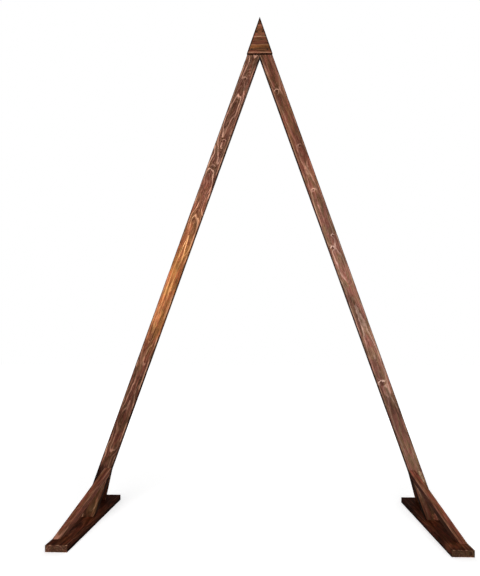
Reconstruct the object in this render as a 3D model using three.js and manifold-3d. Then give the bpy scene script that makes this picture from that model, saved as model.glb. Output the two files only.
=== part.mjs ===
// A free-standing triangle arch in stained softwood.
//
// Two long legs lean together and meet in a mitre at the tip, under a triangular cap plate. Each leg stands
// on a base board that runs front to back, and a front and a rear brace hold it upright. Countersunk wood
// screws join the boards, and those of the braces and legs are driven from hidden faces.
//
// Millimetres. The origin is on the floor under the tip, +X is to the right, +Y to the back and +Z up.

import * as THREE from 'three';
import { mergeVertices } from 'three/addons/utils/BufferGeometryUtils.js';
import Module from 'manifold-3d';

const wasm = await Module();
wasm.setup();

// Driving dimensions of the arch.
const HEIGHT = 2400; // floor to the tip of the cap plate
const LEAN = 0.36; // sideways run of a leg for each unit of height
const GAP = 0.3; // clearance between pieces that touch

const LEG_WIDTH = 61;
const LEG_THICKNESS = 20;
const LEG_APEX = HEIGHT - 4; // height where the outer edges of the two legs meet

const CAP_HEIGHT = 173;
const CAP_THICKNESS = 10;

const BASE_WIDTH = 92;
const BASE_THICKNESS = 29;
const BASE_LENGTH = 600;
const BASE_CENTRE_X = 819;

const BRACE_WIDTH = 30;
const BRACE_THICKNESS = 28;
const BRACE_TOE_Y = 248; // distance of the toe's outermost edge from the plane of the legs
const BRACE_TOP_Z = 264; // height of the upper face where it meets the leg
const BRACE_TOE_INSET = 1; // toe to the outer edge of the base board
const BRACE_TOP_INSET = 4; // top to the inner edge of the leg

// Wood screws.
const HEAD_RADIUS = 4;
const HEAD_HEIGHT = 3;
const HEAD_RIM = 0.4;
const HEAD_SINK = 1; // depth of a head below the board's face
const SHANK_RADIUS = 2;
const POINT_LENGTH = 6;
const RECESS_SPAN = 4.6;
const RECESS_WIDTH = 1.1;
const RECESS_DEPTH = 1.8;
const SCREW_SIDES = 20;

const CAP_SCREW_LENGTH = 24;
const CAP_SCREW_LOWER = { x: 37, above: 19 }; // from the middle, and above the plate's lower edge
const CAP_SCREW_UPPER = { x: 14, above: 104 };
const LEG_SCREW_LENGTH = 60;
const LEG_SCREW_SPACING = 26;
const FOOT_SCREW_LENGTH = 40;
const FOOT_SCREW_OFFSET = 5; // from the middle of the brace's foot towards the leg
const POCKET_SCREW_LENGTH = 50;
const POCKET_ANGLE = THREE.MathUtils.degToRad(15); // between a pocket screw and the brace it runs in
const POCKET_SEAT = 28; // from a pocket screw's head to the face of the leg
const POCKET_OFFSET = 6; // keeps the screws of the front and rear braces apart inside the leg
const POCKET_RISE = 48; // length of the pocket above the screw's head

// Colours of the stained boards and of the blackened screws.
const CAP_COLOUR = 0x6e4028;
const LEG_COLOURS = { left: 0x7a4627, right: 0x6d4432 };
const BASE_COLOUR = 0x4a2a1e;
const BRACE_COLOUR = 0x70402c;
const SCREW_COLOUR = 0x2b2522;

// Values that follow from the driving dimensions.
const LEG_SPAN_X = LEG_WIDTH * Math.hypot(1, LEAN); // width of a leg along a level line
const CAP_BOTTOM = HEIGHT - CAP_HEIGHT;
const CAP_HALF_WIDTH = LEAN * (LEG_APEX - CAP_BOTTOM);
const CAP_FRONT_Y = -(LEG_THICKNESS / 2 + GAP + CAP_THICKNESS);

const SIDES = [
  { name: 'left', sign: -1 },
  { name: 'right', sign: 1 },
];
const FACES = [
  { name: 'front', sign: -1 },
  { name: 'rear', sign: 1 },
];

const UP = new THREE.Vector3(0, 0, 1);
const RIGHT = new THREE.Vector3(1, 0, 0);
const BACK = new THREE.Vector3(0, 1, 0);

// A stained board, with its own shade of reddish brown.
function woodMaterial(colour) {
  return new THREE.MeshStandardMaterial({ color: colour, roughness: 0.55, metalness: 0 });
}

// Blackened steel for the screws.
function screwMaterial() {
  return new THREE.MeshStandardMaterial({ color: SCREW_COLOUR, roughness: 0.45, metalness: 0.9 });
}

// A closed geometry as a solid for cutting. Faces that have shrunk to a line are left out.
function toSolid(geometry) {
  const bare = geometry.clone();
  bare.deleteAttribute('normal');
  bare.deleteAttribute('uv');
  const merged = mergeVertices(bare);
  const corners = merged.index.array;
  const kept = [];
  for (let i = 0; i < corners.length; i += 3) {
    const [a, b, c] = corners.subarray(i, i + 3);
    if (a !== b && b !== c && c !== a) kept.push(a, b, c);
  }
  const vertProperties = new Float32Array(merged.attributes.position.array);
  return new wasm.Manifold(new wasm.Mesh({ numProp: 3, vertProperties, triVerts: new Uint32Array(kept) }));
}

// A solid back as a geometry.
function toGeometry(solid) {
  const mesh = solid.getMesh();
  const geometry = new THREE.BufferGeometry();
  geometry.setAttribute('position', new THREE.BufferAttribute(mesh.vertProperties, 3));
  geometry.setIndex(new THREE.BufferAttribute(mesh.triVerts, 1));
  geometry.computeVertexNormals();
  return geometry;
}

// The point where a line through `point` along `direction` meets a plane.
function meetPlane(point, direction, plane) {
  const distance = -plane.distanceToPoint(point) / plane.normal.dot(direction);
  return point.clone().addScaledVector(direction, distance);
}

// The directions of a board that runs along `along`, with its width in the plane that holds `wide`.
function boardAxes(along, wide) {
  const thin = new THREE.Vector3().crossVectors(along, wide).normalize();
  const across = new THREE.Vector3().crossVectors(thin, along);
  return { along, across, thin };
}

// A straight board whose ends are cut by two planes: the corners of a box slide along the board to them.
function cutBoard(axes, centre, width, thickness, startPlane, endPlane) {
  const geometry = new THREE.BoxGeometry(2, width, thickness);
  const position = geometry.attributes.position;
  const corner = new THREE.Vector3();
  for (let i = 0; i < position.count; i++) {
    corner.fromBufferAttribute(position, i);
    const plane = corner.x < 0 ? startPlane : endPlane;
    const line = centre.clone().addScaledVector(axes.across, corner.y).addScaledVector(axes.thin, corner.z);
    const end = meetPlane(line, axes.along, plane);
    position.setXYZ(i, end.x, end.y, end.z);
  }
  return geometry;
}

// The outline of a screw from its point up to its head, whose top is at height 0, or of the hole that
// clears it, which carries on up to `rise`.
function screwOutline(length, clearance, rise) {
  return [
    new THREE.Vector2(0, -length - 3 * clearance),
    new THREE.Vector2(SHANK_RADIUS + clearance, POINT_LENGTH - length),
    new THREE.Vector2(SHANK_RADIUS + clearance, -HEAD_HEIGHT),
    new THREE.Vector2(HEAD_RADIUS + clearance, -HEAD_RIM),
    new THREE.Vector2(HEAD_RADIUS + clearance, rise),
    new THREE.Vector2(0, rise),
  ];
}

// A countersunk screw with a cross recess, standing on its point along +Y.
function screwGeometry(length) {
  let body = toSolid(new THREE.LatheGeometry(screwOutline(length, 0, 0), SCREW_SIDES));
  for (const turn of [0, Math.PI / 2]) {
    const slot = new THREE.BoxGeometry(RECESS_SPAN, 2 * RECESS_DEPTH, RECESS_WIDTH).rotateY(turn);
    body = body.subtract(toSolid(slot));
  }
  return toGeometry(body);
}

// The turn that points a screw's point along `drive`.
function screwTurn(drive) {
  return new THREE.Quaternion().setFromUnitVectors(new THREE.Vector3(0, -1, 0), drive);
}

// The hole for one screw, where it lies in the arch.
function screwHole(screw) {
  const hole = new THREE.LatheGeometry(screwOutline(screw.length, GAP, screw.rise), SCREW_SIDES);
  hole.applyQuaternion(screwTurn(screw.drive));
  hole.translate(screw.seat.x, screw.seat.y, screw.seat.z);
  return toSolid(hole);
}

function addScrew(arch, screw) {
  const mesh = new THREE.Mesh(screwGeometry(screw.length), screwMaterial());
  mesh.name = screw.name;
  mesh.position.copy(screw.seat);
  mesh.quaternion.copy(screwTurn(screw.drive));
  arch.add(mesh);
}

// A board with the holes of every screw that runs into it.
function addBoard(arch, name, geometry, holes, colour) {
  let solid = toSolid(geometry);
  for (const hole of holes) {
    solid = solid.subtract(hole);
  }
  const mesh = new THREE.Mesh(toGeometry(solid), woodMaterial(colour));
  mesh.name = name;
  arch.add(mesh);
}

// A leg: cut level where it stands on the base board, and upright where it meets the other leg.
function legGeometry(side) {
  const along = new THREE.Vector3(-side.sign * LEAN, 0, 1).normalize();
  const centre = new THREE.Vector3(side.sign * (LEAN * LEG_APEX - LEG_SPAN_X / 2), 0, 0);
  const footPlane = new THREE.Plane(UP, -(BASE_THICKNESS + GAP));
  const mitrePlane = new THREE.Plane(RIGHT, (-side.sign * GAP) / 2);
  return cutBoard(boardAxes(along, RIGHT), centre, LEG_WIDTH, LEG_THICKNESS, footPlane, mitrePlane);
}

// The triangular plate over the front of the mitre.
function capGeometry() {
  const outline = new THREE.Shape();
  outline.moveTo(-CAP_HALF_WIDTH, CAP_BOTTOM);
  outline.lineTo(CAP_HALF_WIDTH, CAP_BOTTOM);
  outline.lineTo(0, HEIGHT);
  outline.closePath();
  const plate = new THREE.ExtrudeGeometry(outline, { depth: CAP_THICKNESS, bevelEnabled: false });
  plate.rotateX(Math.PI / 2);
  plate.translate(0, CAP_FRONT_Y + CAP_THICKNESS, 0);
  return plate;
}

function baseGeometry(side) {
  const board = new THREE.BoxGeometry(BASE_WIDTH, BASE_LENGTH, BASE_THICKNESS);
  board.translate(side.sign * BASE_CENTRE_X, 0, BASE_THICKNESS / 2);
  return board;
}

// Where a brace runs: its directions, its middle line, and the planes that cut its foot and its top.
// It starts flush with the outer edge of the base board and climbs to the inner edge of the leg.
function braceLayout(side, face) {
  const legInnerX = LEAN * (LEG_APEX - BRACE_TOP_Z) - LEG_SPAN_X;
  const run = BRACE_TOE_Y - LEG_THICKNESS / 2;
  const rise = BRACE_TOP_Z - BASE_THICKNESS;
  const toeX = BASE_CENTRE_X + BASE_WIDTH / 2 - BRACE_TOE_INSET;
  const topX = legInnerX + BRACE_TOP_INSET + BRACE_WIDTH;
  const toe = new THREE.Vector3(side.sign * toeX, face.sign * BRACE_TOE_Y, BASE_THICKNESS);
  const along = new THREE.Vector3(side.sign * (topX - toeX), -face.sign * run, rise).normalize();
  const axes = boardAxes(along, RIGHT);
  const inward = axes.thin.clone().multiplyScalar(-face.sign);
  const centre = toe.clone();
  centre.addScaledVector(axes.across, (-side.sign * BRACE_WIDTH) / 2);
  centre.addScaledVector(inward, BRACE_THICKNESS / 2);
  const footPlane = new THREE.Plane(UP, -(BASE_THICKNESS + GAP));
  const topPlane = new THREE.Plane(BACK, -face.sign * (LEG_THICKNESS / 2 + GAP));
  return { axes, inward, centre, footPlane, topPlane };
}

function braceGeometry({ axes, centre, footPlane, topPlane }) {
  return cutBoard(axes, centre, BRACE_WIDTH, BRACE_THICKNESS, footPlane, topPlane);
}

// Two rows of screws through the cap plate, one screw of each row into either leg.
function capScrews(side) {
  const rows = { lower: CAP_SCREW_LOWER, upper: CAP_SCREW_UPPER };
  return Object.entries(rows).map(([row, place]) => ({
    name: `cap_screw_${row}_${side.name}`,
    length: CAP_SCREW_LENGTH,
    seat: new THREE.Vector3(side.sign * place.x, CAP_FRONT_Y + HEAD_SINK, CAP_BOTTOM + place.above),
    drive: BACK,
    rise: 2 * HEAD_SINK,
  }));
}

// Two screws from under the base board into the end of the leg, one towards each edge of it.
function legScrews(side) {
  const middle = LEAN * (LEG_APEX - LEG_SCREW_LENGTH) - LEG_SPAN_X / 2;
  const places = { inner: middle - LEG_SCREW_SPACING / 2, outer: middle + LEG_SCREW_SPACING / 2 };
  return Object.entries(places).map(([place, x]) => ({
    name: `${side.name}_leg_screw_${place}`,
    length: LEG_SCREW_LENGTH,
    seat: new THREE.Vector3(side.sign * x, 0, HEAD_SINK),
    drive: UP,
    rise: 2 * HEAD_SINK,
  }));
}

// One screw from under the base board into the foot of a brace.
function footScrew(side, face, layout) {
  const foot = meetPlane(layout.centre, layout.axes.along, layout.footPlane);
  return {
    name: `${side.name}_${face.name}_brace_foot_screw`,
    length: FOOT_SCREW_LENGTH,
    seat: new THREE.Vector3(foot.x, foot.y - face.sign * FOOT_SCREW_OFFSET, HEAD_SINK),
    drive: UP,
    rise: 2 * HEAD_SINK,
  };
}

// One screw in a slanted pocket on the underside of a brace, up through its end and into the leg.
function pocketScrew(side, face, layout) {
  const { along, across } = layout.axes;
  const drive = along.clone().multiplyScalar(Math.cos(POCKET_ANGLE));
  drive.addScaledVector(layout.inward, -Math.sin(POCKET_ANGLE)).normalize();
  const top = meetPlane(layout.centre, along, layout.topPlane);
  return {
    name: `${side.name}_${face.name}_brace_top_screw`,
    length: POCKET_SCREW_LENGTH,
    seat: top.addScaledVector(across, face.sign * POCKET_OFFSET).addScaledVector(drive, -POCKET_SEAT),
    drive,
    rise: POCKET_RISE,
  };
}

// Everything on one side of the arch: where its braces run, and its screws.
function sideLayout(side) {
  const braces = FACES.map((face) => ({ face, layout: braceLayout(side, face) }));
  const braceScrews = braces.flatMap(({ face, layout }) => [
    footScrew(side, face, layout),
    pocketScrew(side, face, layout),
  ]);
  return { side, braces, screws: [...capScrews(side), ...legScrews(side), ...braceScrews] };
}

function buildArch() {
  const arch = new THREE.Group();
  const layouts = SIDES.map(sideLayout);
  const screws = layouts.flatMap((layout) => layout.screws);
  const holes = screws.map(screwHole);
  addBoard(arch, 'cap_plate', capGeometry(), holes, CAP_COLOUR);
  for (const { side, braces } of layouts) {
    addBoard(arch, `${side.name}_leg`, legGeometry(side), holes, LEG_COLOURS[side.name]);
    addBoard(arch, `${side.name}_base_board`, baseGeometry(side), holes, BASE_COLOUR);
    for (const { face, layout } of braces) {
      addBoard(arch, `${side.name}_${face.name}_brace`, braceGeometry(layout), holes, BRACE_COLOUR);
    }
  }
  screws.forEach((screw) => addScrew(arch, screw));
  return arch;
}

export default buildArch();
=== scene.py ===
"""The looks of a free-standing triangle arch in stained pine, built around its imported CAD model.

Metres, +Z up, +Y to the back, origin on the floor under the tip. Each board is rebuilt from its CAD node with
eased edges, hand-worn arrises and its drilled holes, and each screw gets a thread and a cross recess.
"""

import math
from itertools import product

import bmesh
import bpy
from mathutils import Matrix, Vector, noise


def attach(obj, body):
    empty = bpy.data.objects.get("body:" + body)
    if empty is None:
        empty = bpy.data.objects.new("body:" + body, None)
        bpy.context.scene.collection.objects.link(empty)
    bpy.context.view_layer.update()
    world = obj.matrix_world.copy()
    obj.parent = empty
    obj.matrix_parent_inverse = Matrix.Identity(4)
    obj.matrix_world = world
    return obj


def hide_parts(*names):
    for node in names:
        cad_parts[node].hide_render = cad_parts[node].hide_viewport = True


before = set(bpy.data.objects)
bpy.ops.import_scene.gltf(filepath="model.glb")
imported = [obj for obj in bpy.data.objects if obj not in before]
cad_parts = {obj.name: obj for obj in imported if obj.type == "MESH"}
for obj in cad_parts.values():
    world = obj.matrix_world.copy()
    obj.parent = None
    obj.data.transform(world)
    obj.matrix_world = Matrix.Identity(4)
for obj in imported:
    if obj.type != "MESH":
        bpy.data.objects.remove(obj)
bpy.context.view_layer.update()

SIDES = ("left", "right")
MM = 0.001

# ---------------------------------------------------------------- camera, light and floor

CAMERA_PLACE = Vector((0.034, -1.921, 0.801))
CAMERA_TURN = math.radians(1.2)
CAMERA_ROLL = math.radians(-0.11)
LENS_MM = 25.2
SENSOR_MM = 36.0
SHIFT_X = -0.031
SHIFT_Y = 0.1176

# Each soft box: its place, the point that it faces, and its power in watts.
LIGHTS = {
    "key": ((-0.7, -3.6, 1.9), (0, 0, 1.1), 100),
    "fill": ((0.9, -3.4, 1.2), (0, 0, 1.0), 55),
    "back": ((0.5, 3.6, 2.4), (0, 0, 0.9), 60),
}
LIGHT_SIZE = 1.8

# How bright the white surround is to the wood, to reflections on the wood, and to the camera.
WHITE = (1, 1, 1, 1)
AMBIENT = 0.34
REFLECTED = 0.1
SEEN = 1.0

# The floor glows to the camera, and brightens between the two distances of the rise.
FLOOR_SIZE = 60.0
FLOOR_COLOUR = (0.9, 0.9, 0.9, 1)
FLOOR_MIRRORED = (0.1, 0.1, 0.1, 1)
FLOOR_ROUGHNESS = 0.9
GLOW_NEAR = 0.36
GLOW_FAR = 0.8
GLOW_RISE = (1.0, 4.0)


def make_camera():
    """In front of the arch and a little to the right of it, at about hip height and all but level."""
    data = bpy.data.cameras.new("camera")
    data.lens = LENS_MM
    data.sensor_width = SENSOR_MM
    data.shift_x = SHIFT_X
    data.shift_y = SHIFT_Y
    camera = bpy.data.objects.new("camera", data)
    camera.location = CAMERA_PLACE
    camera.rotation_euler = (math.pi / 2, CAMERA_ROLL, CAMERA_TURN)
    bpy.context.scene.collection.objects.link(camera)
    bpy.context.scene.camera = camera


def area_light(name, place, target, power):
    """A square soft box that faces a point, and gives no glare on the wood."""
    data = bpy.data.lights.new(name, "AREA")
    data.size = LIGHT_SIZE
    data.energy = power
    light = bpy.data.objects.new(name, data)
    light.location = place
    light.rotation_euler = (Vector(target) - Vector(place)).to_track_quat("-Z", "Y").to_euler()
    light.visible_glossy = False
    bpy.context.scene.collection.objects.link(light)


def make_surround():
    """A white room to the camera, but a dim one to the wood, so that faces turned aside stay dark."""
    world = bpy.data.worlds.new("studio")
    world.use_nodes = True
    tree = world.node_tree
    rays = tree.nodes.new("ShaderNodeLightPath")
    lighting = tree.nodes.new("ShaderNodeMix")
    tree.links.new(rays.outputs["Is Glossy Ray"], lighting.inputs["Factor"])
    lighting.inputs["A"].default_value = AMBIENT
    lighting.inputs["B"].default_value = REFLECTED
    strength = tree.nodes.new("ShaderNodeMix")
    tree.links.new(rays.outputs["Is Camera Ray"], strength.inputs["Factor"])
    tree.links.new(lighting.outputs["Result"], strength.inputs["A"])
    strength.inputs["B"].default_value = SEEN
    background = tree.nodes["Background"]
    background.inputs["Color"].default_value = WHITE
    tree.links.new(strength.outputs["Result"], background.inputs["Strength"])
    bpy.context.scene.world = world


def floor_material():
    """Pale paint that brightens into the white surround further out, like a studio sweep.

    It is dark to mirrored rays, because its glare would turn the sides of the boards grey.
    """
    g = Graph("floor")
    x, y, _ = g.split(g.add("ShaderNodeTexCoord", {}).outputs["Object"])
    distance = g.math("SQRT", g.plus(g.times(x, x), g.times(y, y)))
    glow = g.plus(GLOW_NEAR, g.times(g.step(distance, *GLOW_RISE), GLOW_FAR - GLOW_NEAR))
    rays = g.add("ShaderNodeLightPath", {}).outputs
    g.put(g.times(glow, rays["Is Camera Ray"]), g.shader.inputs["Emission Strength"])
    g.put(g.mix(rays["Is Glossy Ray"], FLOOR_COLOUR, FLOOR_MIRRORED), g.shader.inputs["Base Color"])
    g.shader.inputs["Emission Color"].default_value = WHITE
    g.shader.inputs["Roughness"].default_value = FLOOR_ROUGHNESS
    return g.material


def make_floor():
    """A wide flat floor, which is no part of the object."""
    half = FLOOR_SIZE / 2
    corners = [(-half, -half, 0), (half, -half, 0), (half, half, 0), (-half, half, 0)]
    mesh = bpy.data.meshes.new("floor")
    mesh.from_pydata(corners, [], [(0, 1, 2, 3)])
    mesh.materials.append(floor_material())
    floor = bpy.data.objects.new("floor", mesh)
    bpy.context.scene.collection.objects.link(floor)


def make_studio():
    """Two soft boxes in front, a weak one behind, a white surround and a pale floor."""
    bpy.context.scene.view_settings.view_transform = "Standard"
    make_surround()
    for name, (place, target, power) in LIGHTS.items():
        area_light(name, place, target, power)
    make_floor()


# ---------------------------------------------------------------- material nodes


# Noise seldom strays further than 1 / 2.6 from its middle.
NOISE_GAIN = 2.6


class Graph:
    """A short way to write a material's nodes as formulas. A value is a number, a tuple or a socket."""

    def __init__(self, name):
        self.material = bpy.data.materials.new(name)
        self.material.use_nodes = True
        self.tree = self.material.node_tree
        self.shader = self.tree.nodes["Principled BSDF"]

    def put(self, value, socket):
        if isinstance(value, bpy.types.NodeSocket):
            self.tree.links.new(value, socket)
        else:
            socket.default_value = value

    def add(self, kind, inputs, **settings):
        node = self.tree.nodes.new(kind)
        for name, value in settings.items():
            setattr(node, name, value)
        for name, value in inputs.items():
            self.put(value, node.inputs[name])
        return node

    def math(self, operation, *values):
        return self.add("ShaderNodeMath", dict(enumerate(values)), operation=operation).outputs[0]

    def plus(self, *values):
        total = values[0]
        for value in values[1:]:
            total = self.math("ADD", total, value)
        return total

    def times(self, *values):
        total = values[0]
        for value in values[1:]:
            total = self.math("MULTIPLY", total, value)
        return total

    def split(self, vector):
        node = self.add("ShaderNodeSeparateXYZ", {"Vector": vector})
        return node.outputs["X"], node.outputs["Y"], node.outputs["Z"]

    def join(self, x, y, z):
        return self.add("ShaderNodeCombineXYZ", {"X": x, "Y": y, "Z": z}).outputs[0]

    def noise(self, vector, detail=2.0, roughness=0.5):
        """Smooth noise from 0 to 1, one swell per unit of the vector."""
        inputs = {"Vector": vector, "Scale": 1.0, "Detail": detail, "Roughness": roughness}
        return self.add("ShaderNodeTexNoise", inputs).outputs["Fac"]

    def swing(self, vector, reach, detail=1.0):
        """Smooth noise that swings about 0 by roughly the reach each way."""
        return self.times(self.math("SUBTRACT", self.noise(vector, detail), 0.5), NOISE_GAIN * reach)

    def step(self, value, low, high):
        """0 below low, 1 above high, and smooth between."""
        inputs = {"Value": value, "From Min": low, "From Max": high, "To Min": 0.0, "To Max": 1.0}
        return self.add("ShaderNodeMapRange", inputs, interpolation_type="SMOOTHSTEP").outputs[0]

    def fall(self, value, low, high):
        """1 below low, 0 above high, and smooth between."""
        return self.math("SUBTRACT", 1.0, self.step(value, low, high))

    def mix(self, factor, first, second, blend="MIX"):
        """Blends two colours. A Mix node keeps its colour sockets at these numbers."""
        node = self.tree.nodes.new("ShaderNodeMix")
        node.data_type = "RGBA"
        node.blend_type = blend
        self.put(factor, node.inputs[0])
        self.put(first, node.inputs[6])
        self.put(second, node.inputs[7])
        return node.outputs[2]

    def tint(self, factor, colour, gain):
        """Multiplies a colour by a gain, as far as the factor says."""
        return self.mix(factor, colour, self.mix(1.0, colour, gain, "MULTIPLY"))


def grey(value):
    return (value, value, value, 1)


# ---------------------------------------------------------------- wood

# Linear colours of the stained pine: its soft early wood soaks up stain, and its hard late wood stays light.
STAIN_DARK = (0.055, 0.016, 0.008, 1)
STAIN_RED = (0.19, 0.058, 0.034, 1)
STAIN_OLIVE = (0.145, 0.068, 0.028, 1)
LATE_WOOD = (0.62, 0.34, 0.225, 1)
KNOT_DARK = (0.05, 0.014, 0.008, 1)
# Worn edges, which also carry a painted highlight along the arrises.
WORN_AND_LIT_EDGE = (0.5, 0.27, 0.17, 1)

# Noise in the wood, as swells per metre along the grain and across it.
RIPPLE = (31.0, 90.0)
VIGOUR = (7.0, 26.0)
FIBRE = (9.0, 620.0)
FLECK = (42.0, 1500.0)
BLOTCH = (5.0, 24.0)
STREAK = (1.6, 95.0)
HUE = (17.0, 75.0)
DASH = (30.0, 150.0)
RUBBED = (16.0, 60.0)
RAGGED = 110.0

# The heart of the tree lies this deep under the middle of a board, and drifts about by this much.
HEART_DEPTH = 20 * MM
HEART_DRIFT = 12 * MM

# A pale line's width as a share of the rings' spacing. Fine lines have a share of that spacing for their own,
# and their width is a share of theirs.
LINE_WIDTH = 0.2
FINE_SPACING = 0.29
FINE_WIDTH = 0.4

# Soft steps round a knot, by the square of the distance in knot sizes: the edge of its dark core, and the
# inner and outer edge of its pale rim. The rim shows on the upper side only, by a step along the board.
KNOT_CORE = (0.3, 1.1)
KNOT_RIM_INNER = (0.5, 1.1)
KNOT_RIM_OUTER = (1.2, 2.6)
KNOT_RIM_SIDE = (-0.5, 0.6)
KNOT_DARKNESS = 0.65
# How far a knot pushes the rings aside, in knot sizes, and how fast that fades.
KNOT_PUSH = 1.1
KNOT_PUSH_FADE = 0.3

# Boards with different seeds take their noise from places this many metres apart.
SEED_SHIFT = 3.7


class Knot:
    """A pin knot: its place along and across its board, half its width, and the strength of its pale rim."""

    def __init__(self, along, across, size, glow=0.6):
        self.along = along
        self.across = across
        self.size = size
        self.glow = glow


class Arch:
    """A pale arch in the grain: the place of its tip, its length down the board, and half its width."""

    def __init__(self, along, across, length, width):
        self.along = along
        self.across = across
        self.length = length
        self.width = width


class Patch:
    """A part of a board where the stain took otherwise, that is scuffed, or that carries painted shade.

    It multiplies the colour by a gain for each channel. Its middle and its reach to each side are in metres,
    and without them it covers the whole board that way. The lines and the edge share are the shares of the
    pale grain lines and of the worn edges, with their painted highlight, that still show in it. A torn patch
    has a broken edge instead of a soft one.
    """

    def __init__(self, gain, along=0.0, length=9.0, across=0.0, width=9.0, lines=1.0, wear_and_highlight=1.0, torn=False):
        self.gain = (*gain, 1)
        self.along = along
        self.length = length
        self.across = across
        self.width = width
        self.lines = lines
        self.wear_and_highlight = wear_and_highlight
        self.torn = torn


class Look:
    """What sets one board's wood apart. Lengths are in metres, and tones and gains multiply the colour."""

    def __init__(self, seed, **changes):
        self.seed = seed
        self.tone = (1.0, 1.0, 1.0)
        # The rings' spacing, the swirls per metre along and across, and the push of swirls and ripples.
        self.spacing = 9.5 * MM
        self.swirls = (6.5, 17.0)
        self.figure = 4 * MM
        self.ripple = 1.8 * MM
        # How strongly the pale lines and the short dark and light dashes show.
        self.grain = 0.6
        self.mottle = 0.7
        # Painted shade that darkens the narrow side faces, the tone at the foot of the side faces, and
        # painted light on the end faces.
        self.side_shade = 0.4
        self.low_tone = 1.0
        self.end_light_gain = (1.0, 1.0, 1.0)
        # The band along the long edges of the wide faces.
        self.rim_tone = 0.35
        self.rim_width = 4.5 * MM
        # How far the stain is rubbed off, with a painted highlight, on a line set in from the long edges and
        # at the ends.
        self.edge_wear_and_highlight = 0.6
        self.edge_line_inset = 5.5 * MM
        self.end_wear = 0.6
        self.gloss = 0.12
        # A gable is a triangle whose two long edges lean together, up its Y axis.
        self.gable = False
        self.patches = ()
        self.knots = ()
        self.arches = ()
        for name, value in changes.items():
            setattr(self, name, value)


class WoodGraph(Graph):
    """The nodes of one board's wood, in its own axes: X runs along the grain, Y across and Z through."""

    def __init__(self, name, half, look):
        super().__init__(name)
        self.half = half
        self.look = look
        coords = self.add("ShaderNodeTexCoord", {}).outputs
        self.x, self.y, self.z = self.split(coords["Object"])
        self.facing_x, self.facing_y, _ = self.split(coords["Normal"])
        self.seeded_x = self.plus(self.x, look.seed * SEED_SHIFT)
        ragged_place = self.join(self.times(self.seeded_x, RAGGED), self.times(self.y, RAGGED), look.seed)
        self.ragged = self.swing(ragged_place, 0.6, 2.0)

    def gap(self, value, middle):
        """How far a value is from a middle, to either side."""
        return self.math("ABSOLUTE", self.math("SUBTRACT", value, middle))

    def inset(self, reach, value):
        """How far a value is inside a reach to both sides of 0."""
        return self.math("SUBTRACT", reach, self.math("ABSOLUTE", value))

    def stretched(self, along, across):
        """Coordinates for noise that is drawn out along the grain."""
        sideways = (self.times(self.y, across), self.times(self.z, across))
        return self.join(self.times(self.seeded_x, along), *sideways)

    def lengthwise(self, along, row):
        """Coordinates for noise that changes only along the grain. Each row is another noise."""
        return self.join(self.times(self.seeded_x, along), self.look.seed, row)

    def grain_noise(self, scales, detail=2.0, roughness=0.5):
        return self.noise(self.stretched(*scales), detail, roughness)


def ring_distance(g):
    """Distance from the heart of the tree, which wanders along the board and draws arches on its faces."""
    side = g.plus(g.y, g.swing(g.lengthwise(1.9, 0.0), HEART_DRIFT))
    under = g.plus(g.z, HEART_DEPTH, g.swing(g.lengthwise(2.6, 5.0), 1.6 * HEART_DRIFT, 2.0))
    radius = g.math("SQRT", g.plus(g.times(side, side), g.times(under, under)))
    swirl = g.swing(g.stretched(*g.look.swirls), g.look.figure)
    ripple = g.swing(g.stretched(*RIPPLE), g.look.ripple, 3.0)
    return g.plus(radius, swirl, ripple)


def knot_fields(g):
    """For all knots of a board: how far they push the rings aside, their cores and their pale rims."""
    push = 0.0
    core = 0.0
    rim = 0.0
    for knot in g.look.knots:
        dx = g.times(g.math("SUBTRACT", g.x, knot.along), 1 / knot.size)
        dy = g.times(g.math("SUBTRACT", g.y, knot.across), 1 / knot.size)
        # The square of the distance in knot sizes, made ragged.
        near = g.plus(g.times(dx, dx, 0.8), g.times(dy, dy, 0.6), g.times(g.ragged, 2.2))
        fading = g.math("POWER", math.e, g.times(near, -KNOT_PUSH_FADE))
        push = g.plus(push, g.times(fading, KNOT_PUSH * knot.size))
        core = g.math("MAXIMUM", core, g.times(g.fall(near, *KNOT_CORE), KNOT_DARKNESS))
        lit = g.step(g.plus(dx, g.times(g.ragged, 1.5)), *KNOT_RIM_SIDE)
        band = (g.step(near, *KNOT_RIM_INNER), g.fall(near, *KNOT_RIM_OUTER))
        rim = g.math("MAXIMUM", rim, g.times(*band, lit, knot.glow))
    return push, core, rim


def arch_field(g):
    """The pale outlines of a board's arches, which are thick at the tip and fade towards the foot."""
    field = 0.0
    for arch in g.look.arches:
        down = g.math("MAXIMUM", g.times(g.math("SUBTRACT", arch.along, g.x), 1 / arch.length), 0.0)
        off = g.times(g.gap(g.y, arch.across), 1 / arch.width)
        inside = g.math("SUBTRACT", g.plus(g.math("POWER", down, 0.7), g.times(g.ragged, 0.3)), off)
        line = g.times(g.step(inside, -0.1, 0.04), g.fall(inside, 0.08, 0.3), g.fall(down, 0.3, 1.0))
        field = g.math("MAXIMUM", field, g.times(line, g.step(down, 0.0, 0.03)))
    return field


def patch_fields(g):
    """How far inside each patch a point is, and the shares of pale lines and of worn edges with their painted
    highlight that all leave.
    """
    across = g.plus(g.y, g.swing(g.lengthwise(14.0, 9.0), 3 * MM))
    insides = []
    lines = 1.0
    wear_and_highlight = 1.0
    for patch in g.look.patches:
        off_x = g.times(g.gap(g.x, patch.along), 1 / patch.length)
        off_y = g.times(g.gap(across, patch.across), 1 / patch.width)
        inside = g.times(g.fall(off_x, 0.2, 1.0), g.fall(off_y, 0.2, 1.0))
        if patch.torn:
            broken = g.step(g.plus(inside, g.times(g.ragged, 2.6)), 0.45, 0.8)
            inside = g.times(g.step(inside, 0.0, 0.3), broken)
        insides.append(inside)
        lines = g.times(lines, g.plus(1.0, g.times(inside, patch.lines - 1.0)))
        wear_and_highlight = g.times(wear_and_highlight, g.plus(1.0, g.times(inside, patch.wear_and_highlight - 1.0)))
    return insides, lines, wear_and_highlight


def pale_lines(g, distance, spacing, width):
    """One soft line for each ring, sharp on its outer side, as late wood is."""
    ring = g.math("FRACT", g.times(distance, 1 / spacing))
    return g.times(g.step(ring, 0.55 - width, 0.55), g.fall(ring, 0.58, 0.58 + 0.6 * width))


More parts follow.
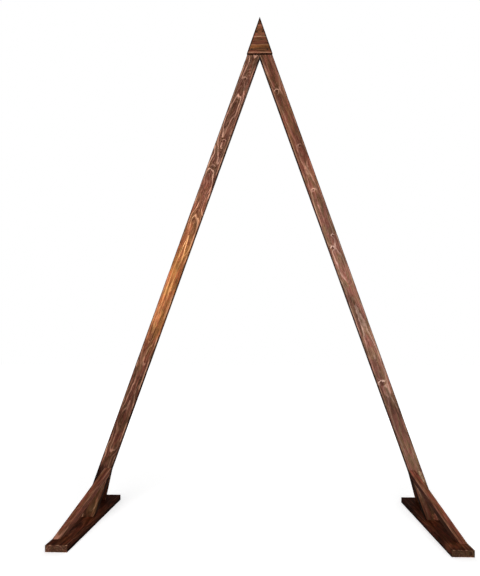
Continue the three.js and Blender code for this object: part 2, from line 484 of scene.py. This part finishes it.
def gap_to_side(g):
    """Distance to the nearer long edge. On a gable the two long edges lean together at the top."""
    if not g.look.gable:
        return g.inset(g.half.y, g.y)
    lean = g.half.x / (2 * g.half.y)
    width = g.times(g.math("SUBTRACT", g.half.y, g.y), lean)
    return g.times(g.inset(width, g.x), 1 / math.hypot(1, lean))


def near_edge(g, gap, width):
    """1 at an edge, falling to 0 a width further in."""
    return g.fall(gap, 0.25 * width, width)


def grain_colour(g, late, fine, fibre, fleck):
    """Red and olive stain with dark fibres and flecks, and with the pale late wood that took less of it."""
    strength = g.look.grain
    streak = g.step(g.grain_noise(STREAK), 0.52, 0.76)
    colour = g.mix(g.step(g.grain_noise(HUE), 0.42, 0.6), STAIN_RED, STAIN_OLIVE)
    colour = g.mix(g.fall(fibre, 0.34, 0.66), colour, STAIN_DARK)
    colour = g.mix(g.times(fine, 0.2 * strength), colour, LATE_WOOD)
    colour = g.mix(g.times(late, strength), colour, LATE_WOOD)
    colour = g.mix(g.times(streak, 0.24 * strength), colour, LATE_WOOD)
    return g.mix(g.times(g.step(fleck, 0.6, 0.75), 0.35), colour, STAIN_DARK)


def mottle(g, colour, blotch):
    """Broad dark blotches, and short dark and light dashes."""
    dash = g.grain_noise(DASH, 3.0, 0.6)
    colour = g.tint(g.fall(blotch, 0.38, 0.62), colour, grey(0.6))
    colour = g.tint(g.times(g.fall(dash, 0.38, 0.52), g.look.mottle), colour, grey(0.5))
    return g.tint(g.times(g.step(dash, 0.56, 0.7), g.look.mottle), colour, grey(1.35))


def shade_faces(g, colour, side_gap):
    """Paints shade on the side faces and light on the end faces, and sets off the foot of the side faces and
    the rims of the wide faces.
    """
    look = g.look
    side = g.step(g.math("ABSOLUTE", g.facing_y), 0.6, 0.95)
    end = g.step(g.math("ABSOLUTE", g.facing_x), 0.5, 0.9)
    low = g.fall(g.plus(g.z, g.half.z), 4 * MM, 18 * MM)
    rim = g.times(near_edge(g, side_gap, look.rim_width), g.math("SUBTRACT", 1.0, side))
    colour = g.tint(side, colour, grey(look.side_shade))
    colour = g.tint(g.times(side, low), colour, grey(look.low_tone))
    colour = g.tint(end, colour, (*look.end_light_gain, 1))
    return g.tint(rim, colour, grey(look.rim_tone))


def rubbed_and_lit_edges(g, side_gap, wear_and_highlight):
    """How far the stain is rubbed off, with a painted highlight along the arrises, in patches, beside the
    long edges and at the ends of the wide faces.

    On a gable the line runs beside its foot instead.
    """
    look = g.look
    line_gap = g.plus(g.y, g.half.y) if look.gable else side_gap
    line = g.times(g.fall(g.gap(line_gap, look.edge_line_inset), 0.8 * MM, 3 * MM), look.edge_wear_and_highlight)
    ends = g.times(near_edge(g, g.inset(g.half.x, g.x), 4 * MM), look.end_wear)
    on_face = near_edge(g, g.inset(g.half.z, g.z), 2.5 * MM)
    patchy = g.step(g.grain_noise(RUBBED, 3.0), 0.44, 0.64)
    return g.times(g.math("MAXIMUM", line, ends), on_face, patchy, wear_and_highlight)


def wood_material(name, half, look):
    """Plain-sawn stained pine, with the knots, arches, patches and worn edges of its look, a painted
    highlight along the arrises, and painted shade and light on its faces.
    """
    g = WoodGraph(name, half, look)
    push, core, rim = knot_fields(g)
    insides, lines, wear_and_highlight = patch_fields(g)
    distance = g.plus(ring_distance(g), push)
    vigour = g.step(g.grain_noise(VIGOUR), 0.34, 0.6)
    late = g.times(pale_lines(g, distance, look.spacing, LINE_WIDTH), vigour, lines)
    fine = g.times(pale_lines(g, distance, FINE_SPACING * look.spacing, FINE_WIDTH), lines)
    fibre = g.grain_noise(FIBRE, 3.0, 0.62)
    fleck = g.grain_noise(FLECK, 1.0)
    blotch = g.grain_noise(BLOTCH, 3.0, 0.6)

    colour = grain_colour(g, late, fine, fibre, fleck)
    colour = g.mix(g.plus(rim, g.times(arch_field(g), 0.75)), colour, LATE_WOOD)
    colour = g.mix(core, colour, KNOT_DARK)
    colour = mottle(g, colour, blotch)
    for inside, patch in zip(insides, look.patches):
        colour = g.tint(inside, colour, patch.gain)
    colour = g.tint(1.0, colour, (*look.tone, 1))
    side_gap = gap_to_side(g)
    colour = shade_faces(g, colour, side_gap)
    # The stain rubbed off the edges, with a painted highlight along the arrises.
    rub_and_highlight = rubbed_and_lit_edges(g, side_gap, wear_and_highlight)
    colour = g.mix(rub_and_highlight, colour, WORN_AND_LIT_EDGE)

    roughness = g.plus(0.5, g.times(fibre, 0.16), g.times(rub_and_highlight, 0.12), g.times(late, -0.05))
    raised = g.plus(g.times(late, 0.35), g.times(fibre, 0.5), g.times(fleck, -0.18))
    height = g.plus(raised, g.times(core, -0.5), g.times(blotch, 0.4))
    bump = g.add("ShaderNodeBump", {"Height": height, "Strength": 0.8, "Distance": 0.3 * MM})
    g.put(colour, g.shader.inputs["Base Color"])
    g.put(roughness, g.shader.inputs["Roughness"])
    g.put(bump.outputs[0], g.shader.inputs["Normal"])
    g.shader.inputs["Specular IOR Level"].default_value = look.gloss
    return g.material


# ---------------------------------------------------------------- boards

WELD = 1e-6
EASING = 0.8 * MM
SLICE = 18 * MM
# The faces lie this far inside the CAD board, and the ends as far outside it until they are cut off flush.
INSET = 0.06 * MM
# Planing waves per metre along and across, how deep they go, and the knocks along the arrises.
WAVES_ALONG = 9
WAVES_ACROSS = 30
WAVE_DEPTH = 0.28 * MM
KNOCK_DEPTH = 2.4 * MM
KNOCK_REACH = 2 * MM
KNOCK_SCALE = 4.3
KNOCK_LEVEL = 0.22
SEED_STRIDE = 11
BOARD_SMOOTH_ANGLE = 38


def longest_arris(node):
    """The direction of the longest sharp edge of a CAD board."""
    mesh = bmesh.new()
    mesh.from_mesh(node.data)
    bmesh.ops.remove_doubles(mesh, verts=mesh.verts, dist=WELD)
    sharp = [e for e in mesh.edges if len(e.link_faces) == 2 and e.calc_face_angle(0) > math.radians(60)]
    edge = max(sharp, key=lambda e: e.calc_length())
    direction = (edge.verts[1].co - edge.verts[0].co).normalized()
    mesh.free()
    return direction


def spread(points, direction):
    """The lowest and the highest place of the points along a direction."""
    along = [p.dot(direction) for p in points]
    return min(along), max(along)


def board_axes(node, grain, flat):
    """A turned frame at the middle of a board: X along its grain, Y across and Z through, towards `flat`."""
    points = [v.co for v in node.data.vertices]
    along = grain if grain else longest_arris(node)
    # Boards run upwards, and level ones to the right or the back.
    level = abs(along.z) <= 0.01
    if (level and along.x + along.y < 0) or (not level and along.z < 0):
        along = -along
    through = (flat - along * flat.dot(along)).normalized()
    across = through.cross(along)
    spreads = [spread(points, axis) for axis in (along, across, through)]
    middle = Vector([(low + high) / 2 for low, high in spreads])
    half = Vector([(high - low) / 2 for low, high in spreads])
    turn = Matrix((along, across, through)).transposed()
    return Matrix.Translation(turn @ middle) @ turn.to_4x4(), half


def board_corners(points):
    """The corners of a board with slanted ends: the points furthest out along each diagonal of its section.

    The section counts for much more than the length, so that a slanted end keeps its shorter corners too.
    """
    weight = 12
    found = []
    for end, side, face in product((-1, 1), repeat=3):
        diagonal = Vector((end, weight * side, weight * face))
        corner = max(points, key=lambda p: p.dot(diagonal))
        if all((corner - other).length > 0.1 * MM for other in found):
            found.append(corner)
    return found


def cut_slices(mesh, axis, low, high, gap):
    """Cuts a mesh across, at even steps along an axis, so that its faces can wander a little."""
    count = max(1, round((high - low) / gap))
    for i in range(1, count):
        plane = Vector((0, 0, 0))
        plane[axis] = low + (high - low) * i / count
        normal = Vector((0, 0, 0))
        normal[axis] = 1
        geometry = mesh.verts[:] + mesh.edges[:] + mesh.faces[:]
        bmesh.ops.bisect_plane(mesh, geom=geometry, plane_co=plane, plane_no=normal, dist=WELD)


def wander(mesh, half, seed):
    """Planing waves on the faces and small knocks along the arrises, which only move inwards.

    The ends move out a little instead, and are cut off flush with the CAD board afterwards.
    """
    mesh.normal_update()
    moves = []
    for v in mesh.verts:
        across = v.co.y * WAVES_ACROSS
        through = v.co.z * WAVES_ACROSS
        place = Vector((v.co.x * WAVES_ALONG + seed * SEED_STRIDE, across, through))
        wave = 0.5 + 0.5 * noise.noise(place)
        edge_y = max(0.0, 1 - (half.y - abs(v.co.y)) / KNOCK_REACH)
        edge_z = max(0.0, 1 - (half.z - abs(v.co.z)) / KNOCK_REACH)
        knock = max(0.0, noise.noise(place * KNOCK_SCALE) - KNOCK_LEVEL) * edge_y * edge_z
        sunk = INSET + WAVE_DEPTH * wave + KNOCK_DEPTH * knock
        on_end = abs(v.normal.x) > 0.2
        moves.append(v.normal * (INSET if on_end else -sunk))
    for v, move in zip(mesh.verts, moves):
        v.co += move


def closed_copy(node):
    """A CAD node as one closed mesh: its triangles come unjoined."""
    mesh = bmesh.new()
    mesh.from_mesh(node.data)
    bmesh.ops.remove_doubles(mesh, verts=mesh.verts, dist=WELD)
    return place_mesh(node.name + "_cutter", mesh, Matrix())


def keep_holes(piece, node):
    """Keeps only what lies inside the CAD board too, which cuts its drilled holes into the piece."""
    cutter = closed_copy(node)
    cut = piece.modifiers.new("holes", "BOOLEAN")
    cut.operation = "INTERSECT"
    cut.solver = "MANIFOLD"
    cut.object = cutter
    depsgraph = bpy.context.evaluated_depsgraph_get()
    result = bpy.data.meshes.new_from_object(piece.evaluated_get(depsgraph))
    piece.modifiers.clear()
    if len(result.polygons) < len(piece.data.polygons):
        raise RuntimeError(f"the holes of {node.name} could not be cut")
    piece.data = result
    bpy.data.objects.remove(cutter)


def smooth(piece, degrees):
    """Smooth shading up to an angle, ruled by the wide faces, so that slivers round a hole don't show."""
    piece.data.shade_smooth()
    piece.data.set_sharp_from_angle(angle=math.radians(degrees))
    weighting = piece.modifiers.new("normals", "WEIGHTED_NORMAL")
    weighting.keep_sharp = True


def make_board(name, look, flat, grain=None):
    """A board with eased edges, in the place of its CAD node."""
    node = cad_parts[name]
    place, half = board_axes(node, grain, flat)
    back = place.inverted()
    points = [back @ v.co for v in node.data.vertices]
    mesh = bmesh.new()
    for corner in board_corners(points):
        mesh.verts.new(corner)
    bmesh.ops.convex_hull(mesh, input=mesh.verts[:])
    flat_angle = math.radians(1)
    bmesh.ops.dissolve_limit(mesh, angle_limit=flat_angle, verts=mesh.verts[:], edges=mesh.edges[:])
    bmesh.ops.bevel(mesh, geom=mesh.edges[:], offset=EASING, segments=3, profile=0.5, affect="EDGES")
    cut_slices(mesh, 0, -half.x, half.x, SLICE)
    cut_slices(mesh, 1, -half.y, half.y, SLICE)
    wander(mesh, half, look.seed)
    piece = place_mesh(name + "_wood", mesh, place)
    bpy.context.view_layer.update()
    keep_holes(piece, node)
    smooth(piece, BOARD_SMOOTH_ANGLE)
    piece.data.materials.clear()
    piece.data.materials.append(wood_material(name + "_wood", half, look))
    hand_over(piece, name)


def place_mesh(name, mesh, place):
    """A finished mesh as an object in the scene."""
    data = bpy.data.meshes.new(name)
    mesh.to_mesh(data)
    mesh.free()
    piece = bpy.data.objects.new(name, data)
    piece.matrix_world = place
    bpy.context.scene.collection.objects.link(piece)
    return piece


def hand_over(piece, name):
    """Puts a finished piece in the place of its CAD node."""
    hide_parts(name)
    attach(piece, "root")


# Each board's own wood. Lengths are in metres from the middle of the board, and legs run from foot to tip.
LEFT_LEG = Look(
    2,
    tone=(0.99, 0.97, 1.03),
    spacing=8.5 * MM,
    swirls=(9.0, 24.0),
    figure=11 * MM,
    ripple=1.3 * MM,
    grain=1.0,
    mottle=0.75,
    side_shade=0.45,
    end_wear=0.3,
    patches=(
        # The golden stretch at mid height, which has few pale lines, and two tones in its upper half.
        Patch((2.7, 2.5, 1.45), along=-0.06, length=0.46),
        Patch((1.0, 1.0, 1.0), along=-0.14, length=0.6, lines=0.12),
        Patch((1.28, 1.2, 1.15), along=0.37, length=0.14),
        Patch((0.84, 0.84, 0.86), along=0.14, length=0.15),
        # The darker lower part, the olive foot and two thin pale streaks on it.
        Patch((0.8, 0.74, 0.68), along=-0.87, length=0.6, lines=0.6),
        Patch((1.0, 1.05, 0.85), along=-1.2, length=0.16, lines=0.3),
        Patch((1.8, 1.9, 1.9), along=-1.18, length=0.08, across=-0.015, width=0.005),
        Patch((1.6, 1.7, 1.7), along=-1.2, length=0.05, across=0.01, width=0.004),
        # Painted shade: the dark wedge beside the top of the front brace, and the dark inner side behind it.
        Patch((0.1, 0.07, 0.05), along=-1.05, length=0.1, across=0.034, width=0.04, lines=0.0, wear_and_highlight=0.0),
        Patch((0.4, 0.33, 0.28), along=-1.12, length=0.25, across=-0.034, width=0.01, wear_and_highlight=0.0),
        # The shade on the inner edge under the cap plate.
        Patch((0.3, 0.3, 0.3), along=1.08, length=0.06, across=-0.03, width=0.016),
    ),
    knots=(
        Knot(0.97, 0.0, 0.006),
        Knot(0.66, -0.006, 0.005),
        Knot(0.53, 0.002, 0.006),
    ),
    arches=(Arch(0.185, 0.001, 0.17, 0.013),),
)
RIGHT_LEG = Look(
    3,
    tone=(1.04, 1.06, 1.12),
    ripple=2.4 * MM,
    grain=0.3,
    mottle=0.6,
    side_shade=0.45,
    edge_wear_and_highlight=0.35,
    end_wear=0.3,
    patches=(
        # The greyer, lighter middle, the tones above and below it, and the dark foot.
        Patch((1.55, 1.85, 2.15), along=-0.15, length=0.8),
        Patch((1.2, 1.14, 1.12), along=0.62, length=0.4),
        Patch((0.86, 0.86, 0.86), along=-0.67, length=0.12),
        Patch((1.75, 2.1, 2.35), along=-0.92, length=0.24, lines=0.5),
        Patch((0.85, 0.78, 0.74), along=-1.2, length=0.15, lines=0.3),
        # Two chipped pale scuffs, by the base board and beside the top of the front brace.
        Patch((2.6, 2.8, 2.8), along=-1.235, length=0.03, across=-0.015, width=0.014, torn=True),
        Patch((2.4, 2.9, 3.1), along=-1.04, length=0.06, across=-0.018, width=0.012, torn=True),
        # Painted shade: the dark inner side near the foot, and the shade on the inner edge under the cap
        # plate.
        Patch((0.4, 0.33, 0.28), along=-1.12, length=0.25, across=0.034, width=0.01, wear_and_highlight=0.0),
        Patch((0.3, 0.3, 0.3), along=1.08, length=0.06, across=0.03, width=0.016),
    ),
    knots=(
        Knot(0.91, 0.01, 0.0065, 0.8),
        Knot(0.63, -0.006, 0.005),
        Knot(0.41, 0.004, 0.0045),
        Knot(0.175, -0.008, 0.005),
        Knot(0.12, 0.012, 0.006),
        Knot(-0.56, 0.01, 0.01, 0.75),
    ),
)
CAP = Look(
    11,
    gable=True,
    tone=(1.26, 1.14, 1.04),
    spacing=34 * MM,
    grain=0.2,
    side_shade=0.2,
    rim_tone=0.15,
    rim_width=8 * MM,
    edge_wear_and_highlight=0.5,
    edge_line_inset=4.5 * MM,
    end_wear=0.0,
    patches=(
        # An ochre band low down, a thin pale streak at mid height, and the dark tip.
        Patch((1.25, 1.5, 0.95), across=-0.052, width=0.011),
        Patch((2.0, 2.7, 3.4), across=-0.006, width=0.0032),
        Patch((0.3, 0.3, 0.3), across=0.0865, width=0.02),
    ),
)
BASE = {
    "tone": (0.51, 0.32, 0.23),
    "grain": 0.3,
    "mottle": 1.0,
    "side_shade": 0.9,
    "low_tone": 0.25,
    "rim_tone": 0.7,
    "edge_wear_and_highlight": 0.1,
    "gloss": 0.06,
}
# Painted light on the end faces of the left and the right base board, as gains that make them lighter.
BASE_END_LIGHT_GAINS = ((1.5, 2.6, 3.7), (0.97, 1.85, 2.3))
# Both base boards are darker at the back and lighter in front of the leg, and the right one has a pale toe.
BASE_PATCHES = (
    Patch((0.55, 0.55, 0.6), along=0.28, length=0.25),
    Patch((1.3, 1.2, 1.1), along=-0.05, length=0.2),
)
RIGHT_TOE_PATCH = Patch((2.0, 2.4, 2.5), along=-0.262, length=0.04)
BRACE = {
    "tone": (1.35, 1.2, 1.25),
    "spacing": 11 * MM,
    "grain": 0.3,
    "rim_tone": 0.8,
    "edge_wear_and_highlight": 0.32,
    "edge_line_inset": 1.5 * MM,
    "end_wear": 0.1,
    "gloss": 0.06,
}
# Painted shade on the side faces of the left and the right front brace, and the darker stain of both rear
# ones.
FRONT_BRACE_SIDE_SHADES = (1.0, 0.4)
REAR_TONE = (0.5, 0.42, 0.36)
BASE_SEED = 20
FRONT_SEED = 30
REAR_SEED = 40


def make_boards():
    """The cap plate, both legs, and the base board and two braces under each leg."""
    front = Vector((0, -1, 0))
    up = Vector((0, 0, 1))
    make_board("cap_plate", CAP, front, Vector((1, 0, 0)))
    make_board("left_leg", LEFT_LEG, front)
    make_board("right_leg", RIGHT_LEG, front)
    for i, side in enumerate(SIDES):
        patches = BASE_PATCHES + (RIGHT_TOE_PATCH,) * i
        base = Look(BASE_SEED + i, **BASE, end_light_gain=BASE_END_LIGHT_GAINS[i], patches=patches)
        make_board(f"{side}_base_board", base, up)
        front_brace = Look(FRONT_SEED + i, **BRACE, side_shade=FRONT_BRACE_SIDE_SHADES[i])
        make_board(f"{side}_front_brace", front_brace, up + front)
        rear_brace = Look(REAR_SEED + i, **{**BRACE, "tone": REAR_TONE})
        make_board(f"{side}_rear_brace", rear_brace, up - front)


# ---------------------------------------------------------------- screws

HEAD_RADIUS = 4 * MM
HEAD_HEIGHT = 3 * MM
HEAD_BEVEL = 0.3 * MM
# The head's widest part runs between these depths, under the bevel.
RIM_TOP = 0.25 * MM
RIM_END = 0.45 * MM
SHANK_RADIUS = 1.93 * MM
THREAD_CREST = 1.98 * MM
THREAD_CORE = 1.35 * MM
THREAD_PITCH = 1.9 * MM
# A ridge takes this share of each turn, and the head and bare shank this share of the screw's length.
RIDGE_SHARE = 0.6
BARE_SHARE = 0.35
THREAD_STEPS = 8
THREAD_SIDES = 16
POINT_LENGTH = 6 * MM
POINT_BLUNTNESS = 0.08
RECESS_REACH = 2.3 * MM
RECESS_WIDTH = 1.1 * MM
RECESS_DEPTH = 1.75 * MM
RECESS_TAPER = 0.55
SCREW_SMOOTH_ANGLE = 35


def screw_frame(node):
    """Where a CAD screw sits: the middle of its head, +Z out of the head, and the length to its point."""
    corners = {tuple(round(c, 6) for c in v.co) for v in node.data.vertices}
    spots = [Vector(corner) for corner in corners]
    middle = sum(spots, Vector()) / len(spots)
    point = max(spots, key=lambda p: (p - middle).length)
    reach = max((p - point).dot(middle - point) for p in spots)
    top = [p for p in spots if (p - point).dot(middle - point) > 0.999 * reach]
    head = sum(top, Vector()) / len(top)
    turn = (head - point).to_track_quat("Z", "Y").to_matrix().to_4x4()
    return Matrix.Translation(head) @ turn, (head - point).length


def add_ring(mesh, height, radius_at):
    """A ring of vertices round Z. The radius may differ from side to side."""
    ring = []
    for i in range(THREAD_SIDES):
        angle = 2 * math.pi * i / THREAD_SIDES
        radius = radius_at(angle)
        ring.append(mesh.verts.new((radius * math.cos(angle), radius * math.sin(angle), height)))
    return ring


def bridge(mesh, upper, lower):
    """Faces between two loops with the same number of corners."""
    for i, corner in enumerate(upper):
        after = (i + 1) % len(upper)
        mesh.faces.new((corner, lower[i], lower[after], upper[after]))


def loop_edges(mesh, loop):
    """The edges round a loop, which are made where there are none yet."""
    pairs = zip(loop, loop[1:] + loop[:1])
    return [mesh.edges.get(pair) or mesh.edges.new(pair) for pair in pairs]


def thread_radius(height, length, angle):
    """A sharp ridge that winds down the screw and fades out into its point."""
    turn = (height / THREAD_PITCH + angle / (2 * math.pi)) % 1
    ridge = max(0.0, 1 - abs(2 * turn - 1) / RIDGE_SHARE)
    taper = min(1.0, (length + height) / POINT_LENGTH + POINT_BLUNTNESS)
    return taper * (THREAD_CORE + (THREAD_CREST - THREAD_CORE) * ridge)


def cross_outline(mesh, height, scale):
    """The twelve corners of a cross recess."""
    reach = RECESS_REACH * scale
    width = RECESS_WIDTH / 2 * scale
    arm = [(width, width), (width, reach), (-width, reach)]
    corners = []
    for quarter in range(4):
        turn = Matrix.Rotation(quarter * math.pi / 2, 2)
        corners += [turn @ Vector(corner) for corner in arm]
    return [mesh.verts.new((corner.x, corner.y, height)) for corner in corners]


def add_head(mesh):
    """The flat top of the head with its cross recess. Gives back the ring round the top."""
    rim = add_ring(mesh, 0, lambda angle: HEAD_RADIUS - HEAD_BEVEL)
    mouth = cross_outline(mesh, 0, 1.0)
    floor = cross_outline(mesh, -RECESS_DEPTH, RECESS_TAPER)
    edges = loop_edges(mesh, rim) + loop_edges(mesh, mouth)
    bmesh.ops.triangle_fill(mesh, edges=edges, use_beauty=True)
    bridge(mesh, mouth, floor)
    mesh.faces.new(floor)
    return rim


def make_screw(name, metal):
    """A countersunk wood screw with a cross recess, a bare shank, a wound thread and a point."""
    place, length = screw_frame(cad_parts[name])
    mesh = bmesh.new()
    ring = add_head(mesh)
    bare_end = -BARE_SHARE * length
    profile = (
        (-RIM_TOP, HEAD_RADIUS),
        (-RIM_END, HEAD_RADIUS),
        (-HEAD_HEIGHT, SHANK_RADIUS),
        (bare_end, SHANK_RADIUS),
    )
    for height, radius in profile:
        lower = add_ring(mesh, height, lambda angle: radius)
        bridge(mesh, ring, lower)
        ring = lower
    drop = THREAD_PITCH / THREAD_STEPS
    for i in range(1, int((length + bare_end) / drop)):
        height = bare_end - i * drop
        lower = add_ring(mesh, height, lambda angle: thread_radius(height, length, angle))
        bridge(mesh, ring, lower)
        ring = lower
    point = mesh.verts.new((0, 0, -length))
    for i, corner in enumerate(ring):
        mesh.faces.new((corner, point, ring[(i + 1) % len(ring)]))
    bmesh.ops.recalc_face_normals(mesh, faces=mesh.faces[:])
    piece = place_mesh(name + "_steel", mesh, place)
    smooth(piece, SCREW_SMOOTH_ANGLE)
    piece.data.materials.append(metal)
    hand_over(piece, name)


COATING_DARK = (0.02, 0.009, 0.006, 1)
COATING_LIGHT = (0.07, 0.034, 0.022, 1)
BARE_STEEL = (0.3, 0.24, 0.19, 1)


def screw_material():
    """A brown-black coating on steel, rubbed bare here and there."""
    g = Graph("coated_screw")
    x, y, z = g.split(g.add("ShaderNodeTexCoord", {}).outputs["Object"])
    cloud = g.noise(g.join(g.times(x, 400.0), g.times(y, 400.0), g.times(z, 400.0)), 4.0, 0.65)
    scratch = g.noise(g.join(g.times(x, 2200.0), g.times(y, 300.0), g.times(z, 900.0)), 2.0)
    rubbed = g.times(g.step(scratch, 0.6, 0.72), g.step(cloud, 0.5, 0.62))
    coating = g.mix(cloud, COATING_DARK, COATING_LIGHT)
    roughness = g.plus(0.36, g.times(cloud, 0.25), g.times(rubbed, -0.1))
    g.put(g.mix(rubbed, coating, BARE_STEEL), g.shader.inputs["Base Color"])
    g.put(roughness, g.shader.inputs["Roughness"])
    bump = g.add("ShaderNodeBump", {"Height": cloud, "Strength": 0.5, "Distance": 0.05 * MM})
    g.put(bump.outputs[0], g.shader.inputs["Normal"])
    g.shader.inputs["Metallic"].default_value = 0.3
    return g.material


def make_screws():
    """Every screw of the frame, all with one coating."""
    metal = screw_material()
    screws = [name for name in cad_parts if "screw" in name]
    for name in screws:
        make_screw(name, metal)


# ---------------------------------------------------------------- the whole arch


make_camera()
make_studio()
make_boards()
make_screws()
